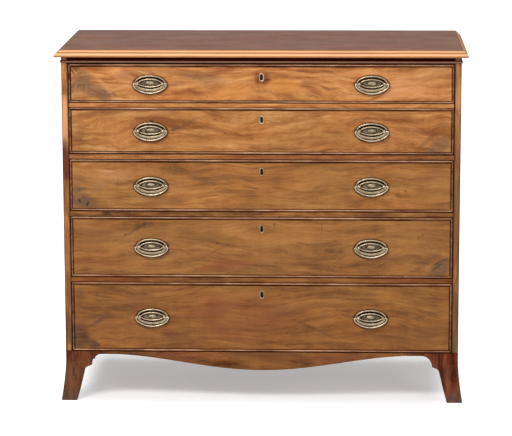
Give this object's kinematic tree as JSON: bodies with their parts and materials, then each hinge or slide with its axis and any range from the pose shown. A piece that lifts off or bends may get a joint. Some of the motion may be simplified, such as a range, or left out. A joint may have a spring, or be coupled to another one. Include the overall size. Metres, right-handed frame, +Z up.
{
  "type": "secretaire chest of drawers",
  "caption": "Long-drawer mahogany chest whose deep top drawer has a fall front over a writing interior, on splayed bracket feet with a bow-shaped apron.",
  "frame": {"origin": "on the floor, below the middle of the whole chest", "axes": "+X to the viewer's right along the front, the drawer fronts face -Y, +Z up"},
  "size_m": [1.225, 0.55, 1.0685],
  "materials": {
    "faded_mahogany": "waxed, satin",
    "figured_mahogany": "waxed, satin",
    "mahogany_top": "worn wax, satin",
    "dark_mahogany": "waxed, satin",
    "drawer_lining": "bare, dull",
    "carcase_pine": "bare, dull",
    "antique_brass": "tarnished, satin",
    "writing_leather": "worn, satin"
  },
  "bodies": {
    "case": {"top_board": "mahogany_top", "top_moulding": "dark_mahogany", "carcase_sides": "faded_mahogany", "drawer_rails": "faded_mahogany", "dustboards": "carcase_pine", "drawer_runners": "carcase_pine", "bottom_board": "carcase_pine", "back_boards": "carcase_pine", "front_apron": "dark_mahogany", "side_back_aprons": "dark_mahogany", "front_feet": "dark_mahogany", "back_feet": "dark_mahogany", "foot_blocks": "carcase_pine"},
    "secretaire_drawer": {"secretaire_sides": "faded_mahogany", "secretaire_back": "drawer_lining", "secretaire_bed": "faded_mahogany", "nest_case": "faded_mahogany", "nest_partitions": "faded_mahogany", "desk_hinge_leaves": "antique_brass"},
    "fall": {"fall_panel": "figured_mahogany", "fall_cockbeads": "dark_mahogany", "fall_leather": "writing_leather", "fall_fittings": "antique_brass", "quadrant_stays": "antique_brass", "fall_hinge_leaves": "antique_brass"},
    "upper_drawer": {"upper_drawer_front": "figured_mahogany", "upper_drawer_cockbeads": "dark_mahogany", "upper_drawer_sides": "drawer_lining", "upper_drawer_bottom": "drawer_lining", "upper_drawer_fittings": "antique_brass"},
    "middle_drawer": {"middle_drawer_front": "figured_mahogany", "middle_drawer_cockbeads": "dark_mahogany", "middle_drawer_sides": "drawer_lining", "middle_drawer_bottom": "drawer_lining", "middle_drawer_fittings": "antique_brass"},
    "bottom_drawer": {"bottom_drawer_front": "figured_mahogany", "bottom_drawer_cockbeads": "dark_mahogany", "bottom_drawer_sides": "drawer_lining", "bottom_drawer_bottom": "drawer_lining", "bottom_drawer_fittings": "antique_brass"},
    "fall_bail_upper_left": {"fall_bail_upper_left": "antique_brass"},
    "fall_bail_upper_right": {"fall_bail_upper_right": "antique_brass"},
    "fall_bail_lower_left": {"fall_bail_lower_left": "antique_brass"},
    "fall_bail_lower_right": {"fall_bail_lower_right": "antique_brass"},
    "upper_drawer_bail_left": {"upper_drawer_bail_left": "antique_brass"},
    "upper_drawer_bail_right": {"upper_drawer_bail_right": "antique_brass"},
    "middle_drawer_bail_left": {"middle_drawer_bail_left": "antique_brass"},
    "middle_drawer_bail_right": {"middle_drawer_bail_right": "antique_brass"},
    "bottom_drawer_bail_left": {"bottom_drawer_bail_left": "antique_brass"},
    "bottom_drawer_bail_right": {"bottom_drawer_bail_right": "antique_brass"},
    "fall_lock_bolt": {"fall_lock_bolt": "antique_brass"},
    "upper_drawer_lock_bolt": {"upper_drawer_lock_bolt": "antique_brass"},
    "middle_drawer_lock_bolt": {"middle_drawer_lock_bolt": "antique_brass"},
    "bottom_drawer_lock_bolt": {"bottom_drawer_lock_bolt": "antique_brass"},
    "nest_drawer_1": {"nest_drawer_1": "faded_mahogany"},
    "nest_drawer_2": {"nest_drawer_2": "faded_mahogany"},
    "nest_drawer_3": {"nest_drawer_3": "faded_mahogany"},
    "nest_drawer_4": {"nest_drawer_4": "faded_mahogany"},
    "nest_door": {"nest_door": "faded_mahogany", "nest_door_hinge_leaves": "antique_brass"}
  },
  "joints": [
    {"name": "secretaire_slide", "type": "slide", "parent": "case", "child": "secretaire_drawer", "axis": [0, -1, 0], "range_m": [0, 0.3]},
    {"name": "fall_hinge", "type": "hinge", "parent": "secretaire_drawer", "child": "fall", "pos_m": [0, -0.229, 0.7725], "axis": [1, 0, 0], "range_deg": [0, 90]},
    {"name": "upper_drawer_slide", "type": "slide", "parent": "case", "child": "upper_drawer", "axis": [0, -1, 0], "range_m": [0, 0.4]},
    {"name": "middle_drawer_slide", "type": "slide", "parent": "case", "child": "middle_drawer", "axis": [0, -1, 0], "range_m": [0, 0.4]},
    {"name": "bottom_drawer_slide", "type": "slide", "parent": "case", "child": "bottom_drawer", "axis": [0, -1, 0], "range_m": [0, 0.4]},
    {"name": "fall_bail_upper_left_hinge", "type": "hinge", "parent": "fall", "child": "fall_bail_upper_left", "pos_m": [-0.329, -0.2615, 0.968], "axis": [-1, 0, 0], "range_deg": [0, 165]},
    {"name": "fall_bail_upper_right_hinge", "type": "hinge", "parent": "fall", "child": "fall_bail_upper_right", "pos_m": [0.329, -0.2615, 0.968], "axis": [-1, 0, 0], "range_deg": [0, 165]},
    {"name": "fall_bail_lower_left_hinge", "type": "hinge", "parent": "fall", "child": "fall_bail_lower_left", "pos_m": [-0.329, -0.2615, 0.8264], "axis": [-1, 0, 0], "range_deg": [0, 165]},
    {"name": "fall_bail_lower_right_hinge", "type": "hinge", "parent": "fall", "child": "fall_bail_lower_right", "pos_m": [0.329, -0.2615, 0.8264], "axis": [-1, 0, 0], "range_deg": [0, 165]},
    {"name": "upper_drawer_bail_left_hinge", "type": "hinge", "parent": "upper_drawer", "child": "upper_drawer_bail_left", "pos_m": [-0.329, -0.2615, 0.6614], "axis": [-1, 0, 0], "range_deg": [0, 165]},
    {"name": "upper_drawer_bail_right_hinge", "type": "hinge", "parent": "upper_drawer", "child": "upper_drawer_bail_right", "pos_m": [0.329, -0.2615, 0.6614], "axis": [-1, 0, 0], "range_deg": [0, 165]},
    {"name": "middle_drawer_bail_left_hinge", "type": "hinge", "parent": "middle_drawer", "child": "middle_drawer_bail_left", "pos_m": [-0.329, -0.2615, 0.47415], "axis": [-1, 0, 0], "range_deg": [0, 165]},
    {"name": "middle_drawer_bail_right_hinge", "type": "hinge", "parent": "middle_drawer", "child": "middle_drawer_bail_right", "pos_m": [0.329, -0.2615, 0.47415], "axis": [-1, 0, 0], "range_deg": [0, 165]},
    {"name": "bottom_drawer_bail_left_hinge", "type": "hinge", "parent": "bottom_drawer", "child": "bottom_drawer_bail_left", "pos_m": [-0.329, -0.2615, 0.2589], "axis": [-1, 0, 0], "range_deg": [0, 165]},
    {"name": "bottom_drawer_bail_right_hinge", "type": "hinge", "parent": "bottom_drawer", "child": "bottom_drawer_bail_right", "pos_m": [0.329, -0.2615, 0.2589], "axis": [-1, 0, 0], "range_deg": [0, 165]},
    {"name": "fall_lock_bolt_slide", "type": "slide", "parent": "fall", "child": "fall_lock_bolt", "axis": [0, 0, 1], "range_m": [0, 0.007]},
    {"name": "upper_drawer_lock_bolt_slide", "type": "slide", "parent": "upper_drawer", "child": "upper_drawer_lock_bolt", "axis": [0, 0, 1], "range_m": [0, 0.007]},
    {"name": "middle_drawer_lock_bolt_slide", "type": "slide", "parent": "middle_drawer", "child": "middle_drawer_lock_bolt", "axis": [0, 0, 1], "range_m": [0, 0.007]},
    {"name": "bottom_drawer_lock_bolt_slide", "type": "slide", "parent": "bottom_drawer", "child": "bottom_drawer_lock_bolt", "axis": [0, 0, 1], "range_m": [0, 0.007]},
    {"name": "nest_drawer_1_slide", "type": "slide", "parent": "secretaire_drawer", "child": "nest_drawer_1", "axis": [0, -1, 0], "range_m": [0, 0.15]},
    {"name": "nest_drawer_2_slide", "type": "slide", "parent": "secretaire_drawer", "child": "nest_drawer_2", "axis": [0, -1, 0], "range_m": [0, 0.15]},
    {"name": "nest_drawer_3_slide", "type": "slide", "parent": "secretaire_drawer", "child": "nest_drawer_3", "axis": [0, -1, 0], "range_m": [0, 0.15]},
    {"name": "nest_drawer_4_slide", "type": "slide", "parent": "secretaire_drawer", "child": "nest_drawer_4", "axis": [0, -1, 0], "range_m": [0, 0.15]},
    {"name": "nest_door_hinge", "type": "hinge", "parent": "secretaire_drawer", "child": "nest_door", "pos_m": [-0.0947, -0.024, 0.878], "axis": [0, 0, -1], "range_deg": [0, 90]}
  ],
  "couplings": [
    {"joint": "fall_hinge", "follows": "secretaire_slide", "rad_per_m": 5.2359}
  ]
}
